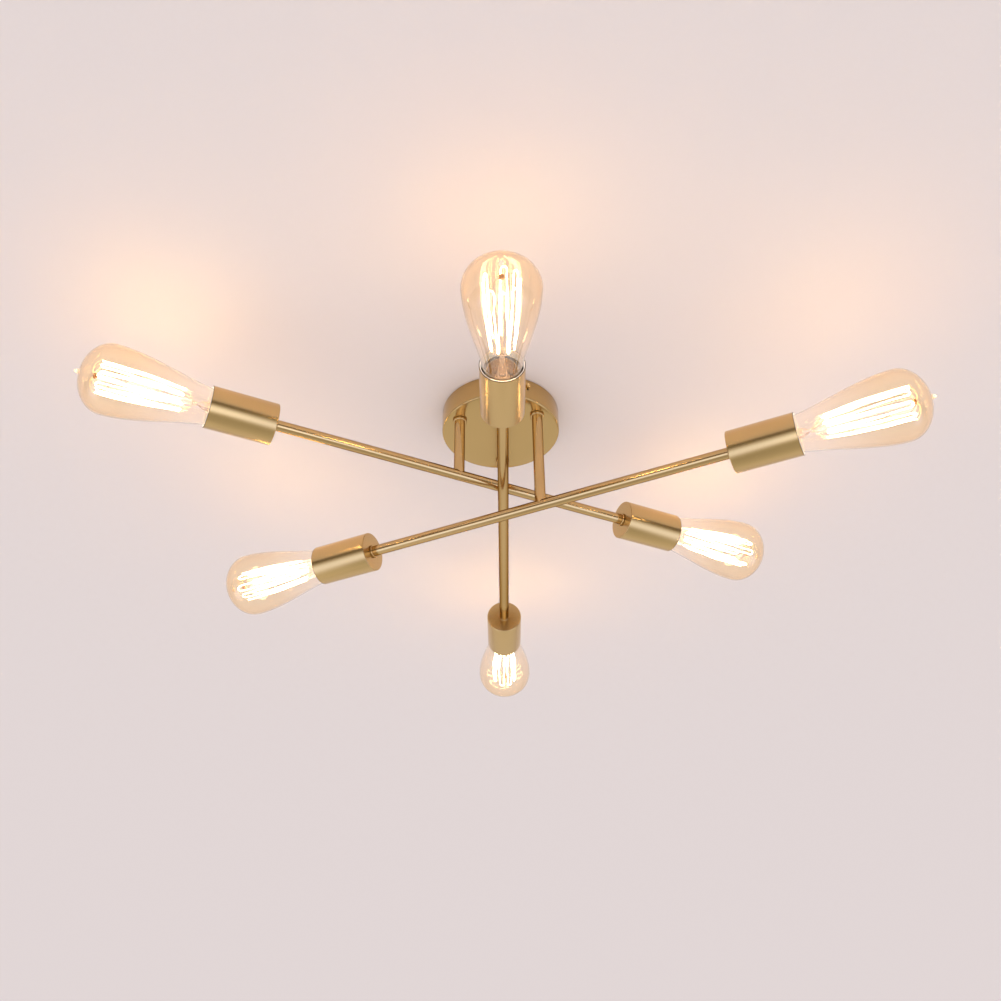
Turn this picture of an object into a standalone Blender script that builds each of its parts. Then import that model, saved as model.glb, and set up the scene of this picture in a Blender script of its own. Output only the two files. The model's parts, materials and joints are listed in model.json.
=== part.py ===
"""Semi-flush ceiling light: a round canopy, three stems and three crossing arms with a lamp at each end.

World frame: +Z up, the origin on the ceiling at the centre of the canopy, and the light hangs into -Z.
Run with: blender --background --python part.py
"""

import math

import bmesh
import bpy
from mathutils import Vector

MM = 0.001
GAP = 0.3 * MM  # kept between touching pieces

# The frame: where the stems stand and how the arms cross. One row for each arm:
# name, bearing of its stem, arm axis below the ceiling, heading of the arm, names of its +X and -X ends.
STEM_CIRCLE_R = 46.5 * MM
ARMS = (
    ("upper", 208, 94.5 * MM, 26, ("right", "left")),
    ("middle", 88, 111.5 * MM, 90, ("back", "front")),
    ("lower", 322, 136.0 * MM, -25, ("right", "left")),
)
CUP_START = 184.0 * MM  # from the stem's axis to the back of a cup, along the arm

CANOPY_R = 60.0 * MM
CANOPY_DEPTH = 25.5 * MM
CANOPY_WALL = 1.2 * MM
CANOPY_LIFT = 0.5 * MM  # the rim stops this far short of the ceiling

BRACKET_BEARING = -63
BRACKET_REACH = 57.2 * MM
BRACKET_WIDTH = 18.0 * MM
BRACKET_THICK = 2.0 * MM
BRACKET_EAR = 15.0 * MM
SLOT_CENTRE = 35.0 * MM
SLOT_LENGTH = 14.0 * MM
SLOT_WIDTH = 5.0 * MM
GROUND_SCREW_X = 17.0 * MM

SCREW_SHANK_R = 1.5 * MM
SCREW_HEAD_R = 2.1 * MM
SCREW_HEAD = 2.6 * MM
SCREW_LENGTH = 9.0 * MM
SCREW_DROP = 9.0 * MM  # the side screws' axis below the ceiling

TUBE_R = 5.2 * MM
TUBE_BORE_R = 4.2 * MM
THREAD_R = 4.7 * MM
THREAD_BORE_R = 3.2 * MM
THREAD_LENGTH = 12.0 * MM
STEM_TOP = 14.5 * MM  # top of the stem's thread, below the ceiling
COLLAR_R = 7.0 * MM
COLLAR_HEIGHT = 3.0 * MM
NUT_FLATS = 14.0 * MM
NUT_HEIGHT = 4.5 * MM
WIRE_R = 1.9 * MM

RING_R = 6.5 * MM
RING_LENGTH = 2.0 * MM
CUP_R = 19.5 * MM
CUP_LENGTH = 60.5 * MM
CUP_WALL = 1.2 * MM
CUP_BACK = 1.5 * MM

# The lamp holder and the bulb are measured back from the cup's rim.
HOLDER_R = 16.2 * MM
HOLDER_MOUTH = 8.5 * MM
SOCKET_R = 13.6 * MM
SOCKET_DEPTH = 24.5 * MM
CAP_R = 13.05 * MM
CAP_WALL = 0.6 * MM
CAP_TOP = 5.7 * MM
CAP_LENGTH = 25.6 * MM
NECK_R = 12.1 * MM
GLASS_WALL = 0.9 * MM

# The glass beyond the cup's rim: its radius there, its widest place, and its tip.
GLASS_RIM_R = 17.0 * MM
GLASS_RIM_SLOPE = 0.15
GLASS_WIDE_R = 32.0 * MM
GLASS_WIDE_AT = 85.5 * MM
GLASS_DOME_END = 111.0 * MM
GLASS_TIP = 3.5 * MM
GLASS_TIP_R = 2.4 * MM

CONNECTOR_R = 6.0 * MM
CONNECTOR_LENGTH = 20.0 * MM
LEAD_DROP = 9.0 * MM
LEAD_HUB_R = 3.2 * MM
SPLICE_DROP = 17.0 * MM

# Sides of the turned pieces.
SIDES_CANOPY = 40
SIDES_CUP = 24
SIDES_GLASS = 16
SIDES_TUBE = 12
SIDES_SMALL = 8

QUARTER_TURN = math.pi / 2


def clear_scene():
    for obj in list(bpy.data.objects):
        bpy.data.objects.remove(obj, do_unlink=True)


def finish(name, colour, roughness, metallic, transmission=0.0):
    """A Principled material."""
    material = bpy.data.materials.new(name)
    material.use_nodes = True
    shader = material.node_tree.nodes["Principled BSDF"]
    shader.inputs["Base Color"].default_value = (*colour, 1.0)
    shader.inputs["Roughness"].default_value = roughness
    shader.inputs["Metallic"].default_value = metallic
    shader.inputs["Transmission Weight"].default_value = transmission
    return material


def make_finishes():
    return {
        "brushed_brass": finish("brushed_brass", (0.62, 0.47, 0.22), 0.35, 1.0),
        "polished_brass": finish("polished_brass", (0.68, 0.50, 0.25), 0.18, 1.0),
        "zinc_steel": finish("zinc_steel", (0.60, 0.60, 0.58), 0.40, 1.0),
        "green_steel": finish("green_steel", (0.06, 0.32, 0.12), 0.40, 0.6),
        "phenolic": finish("phenolic", (0.04, 0.035, 0.03), 0.45, 0.0),
        "cap_brass": finish("cap_brass", (0.70, 0.56, 0.30), 0.30, 1.0),
        "amber_glass": finish("amber_glass", (0.95, 0.72, 0.40), 0.02, 0.0, 1.0),
        "mount_glass": finish("mount_glass", (0.93, 0.86, 0.74), 0.05, 0.0, 1.0),
        "wire_jacket": finish("wire_jacket", (0.12, 0.11, 0.10), 0.50, 0.0),
        "connector_nylon": finish("connector_nylon", (0.70, 0.12, 0.06), 0.45, 0.0),
    }


def new_object(name, mesh, material=None):
    obj = bpy.data.objects.new(name, mesh)
    bpy.context.scene.collection.objects.link(obj)
    if material:
        mesh.materials.append(material)
    return obj


def mesh_of(name, bm, smooth):
    bmesh.ops.recalc_face_normals(bm, faces=bm.faces)
    mesh = bpy.data.meshes.new(name)
    bm.to_mesh(mesh)
    bm.free()
    if smooth:
        mesh.shade_smooth()
        mesh.set_sharp_from_angle(angle=math.radians(35))
    return mesh


def turned(name, outline, sides, closed):
    """Spins an outline of (radius, height) about Z. An outline that isn't closed starts and ends on the axis."""
    bm = bmesh.new()
    verts = [bm.verts.new((r, 0, z)) for r, z in outline]
    pairs = list(zip(verts, verts[1:]))
    if closed:
        pairs.append((verts[-1], verts[0]))
    edges = [bm.edges.new(pair) for pair in pairs]
    bmesh.ops.spin(bm, geom=verts + edges, axis=(0, 0, 1), cent=(0, 0, 0), steps=sides, angle=math.tau)
    bmesh.ops.remove_doubles(bm, verts=bm.verts, dist=1e-7)
    return mesh_of(name, bm, smooth=True)


def rod(name, radius, low, high, sides=SIDES_SMALL):
    """A solid rod along Z."""
    return turned(name, [(0, low), (radius, low), (radius, high), (0, high)], sides, closed=False)


def box(name, size, centre):
    bm = bmesh.new()
    bmesh.ops.create_cube(bm, size=1.0)
    bmesh.ops.scale(bm, vec=size, verts=bm.verts)
    bmesh.ops.translate(bm, vec=centre, verts=bm.verts)
    return mesh_of(name, bm, smooth=False)


def place(obj, parent=None, location=(0, 0, 0), rotation=(0, 0, 0)):
    obj.parent = parent
    obj.location = location
    obj.rotation_euler = rotation
    return obj


def empty(name, parent=None, location=(0, 0, 0), rotation=(0, 0, 0)):
    return place(new_object(name, None), parent, location, rotation)


def cut(obj, mesh, parent=None, location=(0, 0, 0), rotation=(0, 0, 0), operation="DIFFERENCE"):
    """Cuts a mesh out of an object, or joins it on."""
    tool = place(new_object("tool_" + mesh.name, mesh), parent, location, rotation)
    tool.hide_render = True
    tool.display_type = "WIRE"
    modifier = obj.modifiers.new(operation.lower(), "BOOLEAN")
    modifier.operation = operation
    modifier.solver = "EXACT"
    modifier.object = tool


def join(obj, mesh, parent=None, location=(0, 0, 0), rotation=(0, 0, 0)):
    cut(obj, mesh, parent, location, rotation, "UNION")


def stem_place(bearing):
    angle = math.radians(bearing)
    return Vector((STEM_CIRCLE_R * math.cos(angle), STEM_CIRCLE_R * math.sin(angle), 0))


def build_bracket(finishes, frame):
    """The strap across the ceiling box, with an ear bent down at each end for a side screw."""
    ear_inside = BRACKET_REACH - BRACKET_THICK
    half = BRACKET_WIDTH / 2
    bm = bmesh.new()
    outline = (
        (-BRACKET_REACH, 0),
        (BRACKET_REACH, 0),
        (BRACKET_REACH, -BRACKET_EAR),
        (ear_inside, -BRACKET_EAR),
        (ear_inside, -BRACKET_THICK),
        (-ear_inside, -BRACKET_THICK),
        (-ear_inside, -BRACKET_EAR),
        (-BRACKET_REACH, -BRACKET_EAR),
    )
    face = bm.faces.new([bm.verts.new((x, -half, z)) for x, z in outline])
    side = bmesh.ops.extrude_face_region(bm, geom=[face])["geom"]
    moved = [v for v in side if isinstance(v, bmesh.types.BMVert)]
    bmesh.ops.translate(bm, vec=(0, BRACKET_WIDTH, 0), verts=moved)
    bracket = new_object("mounting_bracket", mesh_of("mounting_bracket", bm, False), finishes["zinc_steel"])
    place(bracket, frame)
    for end in (-1, 1):
        slot = box(f"slot_{end}", (SLOT_LENGTH, SLOT_WIDTH, 4 * BRACKET_THICK), (end * SLOT_CENTRE, 0, 0))
        cut(bracket, slot, frame)
    ears = rod("ear_holes", SCREW_SHANK_R + GAP, -CANOPY_R, CANOPY_R)
    cut(bracket, ears, frame, (0, 0, -SCREW_DROP), (0, QUARTER_TURN, 0))
    ground = rod("ground_hole", SCREW_SHANK_R + GAP, -2 * BRACKET_THICK, BRACKET_THICK)
    cut(bracket, ground, frame, (GROUND_SCREW_X, 0, 0))


def screw_mesh(name, under_head, length, head_r, head):
    """A screw along +Z with its head outermost and the underside of the head at under_head."""
    outline = [
        (0, under_head - length),
        (SCREW_SHANK_R, under_head - length),
        (SCREW_SHANK_R, under_head),
        (head_r, under_head),
        (head_r, under_head + head),
        (0, under_head + head),
    ]
    return turned(name, outline, SIDES_SMALL, closed=False)


def build_screws(finishes, frame):
    for name, heading in (("canopy_screw_front", 0), ("canopy_screw_back", math.pi)):
        mesh = screw_mesh(name, CANOPY_R + GAP, SCREW_LENGTH, SCREW_HEAD_R, SCREW_HEAD)
        turn = empty(name + "_axis", frame, (0, 0, -SCREW_DROP), (0, 0, heading))
        place(new_object(name, mesh, finishes["polished_brass"]), turn, (0, 0, 0), (0, QUARTER_TURN, 0))
    mesh = screw_mesh("ground_screw", BRACKET_THICK + GAP, BRACKET_THICK, 3.5 * MM, 2.2 * MM)
    screw = new_object("ground_screw", mesh, finishes["green_steel"])
    place(screw, frame, (GROUND_SCREW_X, 0, 0), (math.pi, 0, 0))


def build_canopy(finishes, frame):
    """The round pan over the bracket, drilled for the three stems and the two side screws."""
    inside = CANOPY_R - CANOPY_WALL
    outline = [
        (0, -CANOPY_DEPTH),
        (CANOPY_R, -CANOPY_DEPTH),
        (CANOPY_R, -CANOPY_LIFT),
        (inside, -CANOPY_LIFT),
        (inside, CANOPY_WALL - CANOPY_DEPTH),
        (0, CANOPY_WALL - CANOPY_DEPTH),
    ]
    mesh = turned("canopy", outline, SIDES_CANOPY, closed=False)
    canopy = new_object("canopy", mesh, finishes["brushed_brass"])
    for name, bearing, *_ in ARMS:
        hole = rod("stem_hole_" + name, THREAD_R + 2 * GAP, -2 * CANOPY_WALL, 2 * CANOPY_WALL, SIDES_TUBE)
        cut(canopy, hole, None, stem_place(bearing) - Vector((0, 0, CANOPY_DEPTH)))
    sides = rod("side_holes", SCREW_SHANK_R + 2 * GAP, -CANOPY_R - SCREW_HEAD, CANOPY_R + SCREW_HEAD)
    cut(canopy, sides, frame, (0, 0, -SCREW_DROP), (0, QUARTER_TURN, 0))


def build_splice(finishes):
    """The leads from the three stems, joined above the canopy's floor by two twist-on connectors."""
    drop = STEM_TOP - 2 * GAP
    hub = rod("splice_leads", LEAD_HUB_R, -SPLICE_DROP, WIRE_R + GAP - LEAD_DROP)
    leads = new_object("splice_leads", hub, finishes["wire_jacket"])
    for name, bearing, *_ in ARMS:
        heading = math.radians(bearing)
        run = rod("lead_run_" + name, WIRE_R, 0, STEM_CIRCLE_R + WIRE_R / 2)
        join(leads, run, None, (0, 0, -LEAD_DROP), (0, QUARTER_TURN, heading))
        down = rod("lead_down_" + name, WIRE_R, LEAD_DROP - drop, WIRE_R / 3)
        join(leads, down, None, stem_place(bearing) - Vector((0, 0, LEAD_DROP)))
    mouth = CONNECTOR_R
    reach = mouth + CONNECTOR_LENGTH / 2
    join(leads, rod("splice", WIRE_R, -reach, reach), None, (0, 0, -SPLICE_DROP), (0, QUARTER_TURN, 0))
    outline = [
        (0, reach + GAP),
        (WIRE_R + 2 * GAP, reach + GAP),
        (WIRE_R + 2 * GAP, mouth),
        (CONNECTOR_R, mouth),
        (0.7 * CONNECTOR_R, mouth + CONNECTOR_LENGTH),
        (0, mouth + CONNECTOR_LENGTH),
    ]
    for name, heading in (("wire_connector_live", 0), ("wire_connector_neutral", math.pi)):
        connector = new_object(name, turned(name, outline, SIDES_SMALL, closed=False), finishes["connector_nylon"])
        place(connector, None, (0, 0, -SPLICE_DROP), (0, QUARTER_TURN, heading))


def build_stem(name, drop, pivot, finishes):
    """The vertical tube, saddled over the arm, with its thread through the canopy, a collar and a lock nut."""
    shoulder = drop - CANOPY_DEPTH - GAP
    saddle_r = TUBE_R + GAP
    foot = math.sqrt(saddle_r**2 - TUBE_R**2) + GAP / 2
    outline = [
        (THREAD_BORE_R, foot),
        (TUBE_R, foot),
        (TUBE_R, shoulder),
        (THREAD_R, shoulder),
        (THREAD_R, drop - STEM_TOP),
        (THREAD_BORE_R, drop - STEM_TOP),
    ]
    mesh = turned("stem_" + name, outline, SIDES_TUBE, closed=True)
    stem = place(new_object("stem_" + name, mesh, finishes["polished_brass"]), pivot)
    saddle = rod("saddle_" + name, saddle_r / math.cos(math.pi / SIDES_TUBE), -CUP_R, CUP_R, SIDES_TUBE)
    cut(stem, saddle, pivot, (0, 0, 0), (0, QUARTER_TURN, 0))

    collar_bore = TUBE_R + GAP
    ring = [
        (collar_bore, shoulder - COLLAR_HEIGHT),
        (COLLAR_R, shoulder - COLLAR_HEIGHT),
        (COLLAR_R, shoulder),
        (collar_bore, shoulder),
    ]
    collar = turned("stem_collar_" + name, ring, SIDES_TUBE, closed=True)
    place(new_object("stem_collar_" + name, collar, finishes["polished_brass"]), pivot)

    nut_low = drop - CANOPY_DEPTH + CANOPY_WALL + GAP
    mesh = rod("stem_nut_" + name, NUT_FLATS / math.sqrt(3), nut_low, nut_low + NUT_HEIGHT, sides=6)
    nut = place(new_object("stem_nut_" + name, mesh, finishes["zinc_steel"]), pivot)
    cut(nut, rod("nut_bore_" + name, THREAD_R + GAP, 0, drop, SIDES_TUBE), pivot)


def build_arm(name, drop, pivot, finishes):
    """The horizontal tube, threaded at both ends, and the wires that run through it and up the stem."""
    shoulder = CUP_START - RING_LENGTH - 2 * GAP
    tip = CUP_START + THREAD_LENGTH - RING_LENGTH
    plug = shoulder - THREAD_LENGTH / 2
    outer = [(THREAD_R, -tip), (THREAD_R, -shoulder), (TUBE_R, -shoulder)]
    inner = [(THREAD_BORE_R, -tip), (THREAD_BORE_R, -plug), (TUBE_BORE_R, -plug)]
    outline = outer + [(r, -z) for r, z in reversed(outer)]
    outline += [(r, -z) for r, z in inner]
    outline += list(reversed(inner))
    mesh = turned("arm_tube_" + name, outline, SIDES_TUBE, closed=True)
    arm = new_object("arm_tube_" + name, mesh, finishes["polished_brass"])
    place(arm, pivot, (0, 0, 0), (0, QUARTER_TURN, 0))
    cut(arm, rod("wire_hole_" + name, THREAD_BORE_R, 0, 2 * TUBE_R, SIDES_TUBE), pivot)

    end = tip - GAP
    wires = new_object("wiring_" + name, rod("wiring_" + name, WIRE_R, -end, end), finishes["wire_jacket"])
    place(wires, pivot, (0, 0, 0), (0, QUARTER_TURN, 0))
    join(wires, rod("wire_rise_" + name, WIRE_R, 0, drop - STEM_TOP), pivot)


def build_socket(name, end, finishes):
    """The ring, the cup and the lamp holder on one end of an arm. The end's Z runs out along the arm."""
    thread_hole = THREAD_R + GAP
    ring_low = CUP_START - GAP - RING_LENGTH
    ring = [
        (thread_hole, ring_low),
        (RING_R, ring_low),
        (RING_R, CUP_START - GAP),
        (thread_hole, CUP_START - GAP),
    ]
    mesh = turned("end_ring_" + name, ring, SIDES_TUBE, closed=True)
    place(new_object("end_ring_" + name, mesh, finishes["polished_brass"]), end)

    rim = CUP_START + CUP_LENGTH
    inside = CUP_R - CUP_WALL
    floor = CUP_START + CUP_BACK
    shell = [
        (thread_hole, CUP_START),
        (CUP_R, CUP_START),
        (CUP_R, rim),
        (inside, rim),
        (inside, floor),
        (thread_hole, floor),
    ]
    mesh = turned("cup_" + name, shell, SIDES_CUP, closed=True)
    place(new_object("cup_" + name, mesh, finishes["brushed_brass"]), end)

    thread_end = CUP_START + THREAD_LENGTH - RING_LENGTH + GAP
    mouth = rim - HOLDER_MOUTH
    holder = [
        (0, thread_end),
        (thread_hole, thread_end),
        (thread_hole, floor + GAP),
        (HOLDER_R, floor + GAP),
        (HOLDER_R, mouth),
        (SOCKET_R, mouth),
        (SOCKET_R, mouth - SOCKET_DEPTH),
        (0, mouth - SOCKET_DEPTH),
    ]
    mesh = turned("lamp_holder_" + name, holder, SIDES_GLASS, closed=False)
    place(new_object("lamp_holder_" + name, mesh, finishes["phenolic"]), end)


def pear_radius(at):
    """The glass's radius at a distance beyond the cup's rim, up to its widest place."""
    t = at / GLASS_WIDE_AT
    start = GLASS_RIM_R * (2 * t**3 - 3 * t**2 + 1)
    slope = GLASS_RIM_SLOPE * GLASS_WIDE_AT * (t**3 - 2 * t**2 + t)
    return start + slope + GLASS_WIDE_R * (3 * t**2 - 2 * t**3)


def glass_outline(rim):
    """The bulb's glass, from the neck in its cap, out to the tip and back inside."""
    neck_low = rim - CAP_TOP - 15.5 * MM
    outer = [(NECK_R, neck_low), (NECK_R, rim - CAP_TOP + GAP)]
    outer += [(pear_radius(at), rim + at) for at in (k * GLASS_WIDE_AT / 4 for k in range(5))]
    dome = GLASS_DOME_END - GLASS_WIDE_AT
    bends = [math.radians(a) for a in (25, 50, 70)]
    outer += [(GLASS_WIDE_R * math.cos(a), rim + GLASS_WIDE_AT + dome * math.sin(a)) for a in bends]
    inner = [(r - GLASS_WALL, z) for r, z in outer[:7]]
    inner += [(r - GLASS_WALL * 1.2, z - GLASS_WALL * 0.6) for r, z in outer[7:]]
    tip_foot = rim + GLASS_DOME_END - 0.1 * MM
    outer += [(GLASS_TIP_R, tip_foot), (0, rim + GLASS_DOME_END + GLASS_TIP)]
    inner += [(0, rim + GLASS_DOME_END - GLASS_WALL)]
    return list(reversed(outer)) + inner


def build_bulb(name, end, finishes):
    """A screw-cap bulb with a pear-shaped glass and, inside it, the glass mount that carries the filament."""
    rim = CUP_START + CUP_LENGTH
    mesh = turned("bulb_glass_" + name, glass_outline(rim), SIDES_GLASS, closed=False)
    place(new_object("bulb_glass_" + name, mesh, finishes["amber_glass"]), end)

    top = rim - CAP_TOP
    low = top - CAP_LENGTH
    floor = low + 8.0 * MM
    cap = [
        (0, low),
        (4.8 * MM, low),
        (5.2 * MM, low + 1.2 * MM),
        (10.8 * MM, low + 4.6 * MM),
        (CAP_R, low + 6.4 * MM),
        (CAP_R, top),
        (CAP_R - CAP_WALL, top),
        (CAP_R - CAP_WALL, floor),
        (0, floor),
    ]
    mesh = turned("bulb_cap_" + name, cap, SIDES_GLASS, closed=False)
    place(new_object("bulb_cap_" + name, mesh, finishes["cap_brass"]), end)

    flare = NECK_R - GLASS_WALL - GAP
    flare_low = floor + 2 * GAP
    mount = [
        (0, flare_low),
        (flare, flare_low),
        (flare, flare_low + 1.2 * MM),
        (5.0 * MM, flare_low + 6.0 * MM),
        (3.4 * MM, rim + 8.0 * MM),
        (1.3 * MM, rim + 14.0 * MM),
        (1.3 * MM, rim + 93.0 * MM),
        (2.4 * MM, rim + 94.5 * MM),
        (2.4 * MM, rim + 96.5 * MM),
        (0, rim + 97.5 * MM),
    ]
    mesh = turned("filament_mount_" + name, mount, SIDES_SMALL, closed=False)
    place(new_object("filament_mount_" + name, mesh, finishes["mount_glass"]), end)


def main():
    clear_scene()
    finishes = make_finishes()
    bracket_frame = empty("bracket_frame", None, (0, 0, 0), (0, 0, math.radians(BRACKET_BEARING)))
    build_bracket(finishes, bracket_frame)
    build_screws(finishes, bracket_frame)
    build_canopy(finishes, bracket_frame)
    build_splice(finishes)
    for name, bearing, drop, heading, ends in ARMS:
        axis = stem_place(bearing) - Vector((0, 0, drop))
        pivot = empty("swivel_" + name, None, axis, (0, 0, math.radians(heading)))
        build_stem(name, drop, pivot, finishes)
        build_arm(name, drop, pivot, finishes)
        for side, end_name in zip((1, -1), ends):
            end = empty(f"end_{name}_{end_name}", pivot, (0, 0, 0), (0, side * QUARTER_TURN, 0))
            build_socket(f"{name}_{end_name}", end, finishes)
            build_bulb(f"{name}_{end_name}", end, finishes)


main()
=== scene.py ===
"""The looks of a three-arm ceiling light: brushed and polished brass, and lit filament bulbs.

World frame, in metres: +Z up, the origin on the ceiling at the canopy's centre, the light hangs into -Z.
"""

import json
import math
import random

import bmesh
import bpy
from mathutils import Matrix, Vector


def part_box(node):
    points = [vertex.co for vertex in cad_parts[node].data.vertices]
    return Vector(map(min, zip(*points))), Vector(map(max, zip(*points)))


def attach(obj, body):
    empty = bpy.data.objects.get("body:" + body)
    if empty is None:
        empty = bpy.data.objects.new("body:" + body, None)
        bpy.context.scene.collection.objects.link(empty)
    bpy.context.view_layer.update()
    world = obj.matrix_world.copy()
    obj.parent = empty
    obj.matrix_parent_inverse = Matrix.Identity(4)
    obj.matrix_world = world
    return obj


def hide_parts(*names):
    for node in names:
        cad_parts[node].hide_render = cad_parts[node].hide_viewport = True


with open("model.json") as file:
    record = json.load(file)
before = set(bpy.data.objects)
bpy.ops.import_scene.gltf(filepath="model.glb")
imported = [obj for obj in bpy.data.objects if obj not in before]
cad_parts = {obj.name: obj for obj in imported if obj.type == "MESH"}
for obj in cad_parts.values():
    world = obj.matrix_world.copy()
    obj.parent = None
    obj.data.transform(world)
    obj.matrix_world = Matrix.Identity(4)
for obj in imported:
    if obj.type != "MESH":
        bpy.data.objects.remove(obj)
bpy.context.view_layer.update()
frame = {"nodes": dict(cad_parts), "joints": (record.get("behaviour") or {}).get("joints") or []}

MM = 0.001
UP = Vector((0, 0, 1))
SIDES_LARGE = 128
SIDES_CUP = 96
SIDES_GLASS = 80
SIDES_TUBE = 48
SIDES_SMALL = 32
FILLET_STEPS = 5
SHARP_ANGLE = math.radians(32)

# Canopy, its side screws and the bracket over the ceiling box.
CANOPY_WALL = 1.2 * MM
CANOPY_EDGE = 1.8 * MM
SCREW_DROP = 9.0 * MM
SCREW_SHANK_R = 1.5 * MM
SIDE_HOLE_R = 1.25 * MM
SIDE_HOLE_DROP = 3.6 * MM
BRACKET_BEARING = math.radians(-63)
BRACKET_THICK = 2.0 * MM
BRACKET_WIDTH = 18.0 * MM
GROUND_SCREW_X = 17.0 * MM
EARTH_HEAD_R = 3.5 * MM
EARTH_HEAD = 2.2 * MM
CONNECTOR_RIBS = 12
SLOT_CENTRE = 35.0 * MM
SLOT_LENGTH = 14.0 * MM
SLOT_WIDTH = 5.0 * MM

# Stems and arms.
TUBE_R = 5.2 * MM
THREAD_R = 4.7 * MM
THREAD_BORE_R = 3.2 * MM
FINE_PITCH = 0.94 * MM
FINE_DEPTH = 0.15 * MM
STEM_TOP = 14.5 * MM
COLLAR_R = 7.0 * MM
COLLAR_HEIGHT = 3.0 * MM
RING_R = 6.5 * MM
RING_LENGTH = 2.0 * MM
SEAM = 0.08 * MM

# Cups and lamp holders, measured along the arm from the cup's rim.
CUP_R = 19.5 * MM
CUP_LENGTH = 60.5 * MM
CUP_WALL = 1.2 * MM
CUP_LIP = 0.5 * MM
EDGE_WIDTH = 0.6 * MM
HOLDER_MOUTH = 8.5 * MM
SHELL_DEPTH = 23.0 * MM
LAMP_PITCH = 25.4 * MM / 7

# Bulbs, also from the rim.
CAP_TOP = 5.7 * MM
CAP_LENGTH = 25.6 * MM
CAP_R = 13.05 * MM
THREAD_DEPTH = 0.7 * MM
NECK_R = 12.1 * MM
GLASS_RIM_R = 17.0 * MM
GLASS_RIM_SLOPE = 0.15
GLASS_WIDE_R = 31.75 * MM
GLASS_WIDE_AT = 85.5 * MM
GLASS_DOME_END = 110.6 * MM
GLASS_WALL = 0.7 * MM
TIP_R = 2.2 * MM
# Along the glass from the foot of its neck.
CLEAR_TO = 30.0 * MM
AMBER_FROM = 95.0 * MM

# The filament: hooks round the top and the bottom of the cage.
HOOKS = 8
CAGE_TOP = 94.5 * MM
CAGE_FOOT = 23.0 * MM
CAGE_TOP_R = 14.3 * MM
CAGE_FOOT_R = 10.5 * MM
CAGE_BOW = 1.2 * MM
LOOP_DROP = 2.2 * MM
BUTTON = 97.0 * MM
BEAD = 11.5 * MM
STRAND_R = 0.55 * MM
WIRE_R = 0.2 * MM

# The stage.
CEILING_BOX_R = 50.0 * MM
CEILING_R = 12.0
LIGHT_AIM = Vector((0, 0, -0.1))
LAMP_POWER = 0.13
LAMP_COLOUR = (1.0, 0.42, 0.06)
CAMERA_PLACE = (-0.0020, -0.8528, -0.7116)
CAMERA_LENS = 38.23
CAMERA_YAW = -0.06
CAMERA_LOOK_UP = 35.21
CAMERA_ROLL = -0.75


# ---------------------------------------------------------------- materials


def new_material(name):
    material = bpy.data.materials.new(name)
    material.use_nodes = True
    nodes = material.node_tree.nodes
    return material, nodes, material.node_tree.links, nodes["Principled BSDF"]


def add_node(nodes, kind, **values):
    """A node with some of its properties or its unlinked inputs set."""
    node = nodes.new(kind)
    for key, value in values.items():
        if hasattr(node, key):
            setattr(node, key, value)
        else:
            node.inputs[key.replace("_", " ")].default_value = value
    return node


def ramp(nodes, links, source, stops):
    """A colour ramp; each stop is (place, colour)."""
    node = nodes.new("ShaderNodeValToRGB")
    elements = node.color_ramp.elements
    while len(elements) < len(stops):
        elements.new(0.5)
    for element, (place, colour) in zip(elements, stops):
        element.position = place
        element.color = (*colour, 1.0)
    links.new(source, node.inputs["Fac"])
    return node.outputs["Color"]


def blend(nodes, links, share, first, second):
    """The colour or output first where share is 0, and second where it is 1."""
    node = nodes.new("ShaderNodeMix")
    node.data_type = "RGBA"
    links.new(share, node.inputs[0])
    for source, socket in ((first, node.inputs[6]), (second, node.inputs[7])):
        if isinstance(source, tuple):
            socket.default_value = (*source, 1.0)
        else:
            links.new(source, socket)
    return node.outputs[2]


def mix_shaders(nodes, links, share, first, second, end):
    """The shader first where share is 0 and second where it is 1, out through the end node."""
    node = nodes.new("ShaderNodeMixShader")
    links.new(share, node.inputs["Fac"])
    links.new(first.outputs[0], node.inputs[1])
    links.new(second.outputs[0], node.inputs[2])
    links.new(node.outputs["Shader"], nodes[end].inputs["Surface"])


def span(nodes, links, source, low, high):
    """Spreads a noise's 0.3 to 0.7 over low to high."""
    node = add_node(nodes, "ShaderNodeMapRange", From_Min=0.3, From_Max=0.7, To_Min=low, To_Max=high)
    links.new(source, node.inputs["Value"])
    return node.outputs["Result"]


def lathe_noise(nodes, links, round_scale, long_scale, detail=3.0):
    """Noise in the lathe's own coordinates: the angle's cosine and sine, and the outline's length."""
    place = add_node(nodes, "ShaderNodeAttribute", attribute_name="lathe")
    spread = nodes.new("ShaderNodeMapping")
    spread.inputs["Scale"].default_value = (round_scale, round_scale, long_scale)
    links.new(place.outputs["Vector"], spread.inputs["Vector"])
    grain = add_node(nodes, "ShaderNodeTexNoise", Scale=1.0, Detail=detail, Roughness=0.6)
    links.new(spread.outputs["Vector"], grain.inputs["Vector"])
    return grain.outputs["Fac"]


def room_noise(nodes, links, scale, detail=2.0):
    """Noise in the world's coordinates at rest, in marks per metre."""
    place = nodes.new("ShaderNodeTexCoord")
    grain = add_node(nodes, "ShaderNodeTexNoise", Scale=scale, Detail=detail)
    links.new(place.outputs["Object"], grain.inputs["Vector"])
    return grain.outputs["Fac"]


def add_bump(nodes, links, shader, height, strength, distance):
    bump = add_node(nodes, "ShaderNodeBump", Strength=strength, Distance=distance)
    links.new(height, bump.inputs["Height"])
    links.new(bump.outputs["Normal"], shader.inputs["Normal"])


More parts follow.
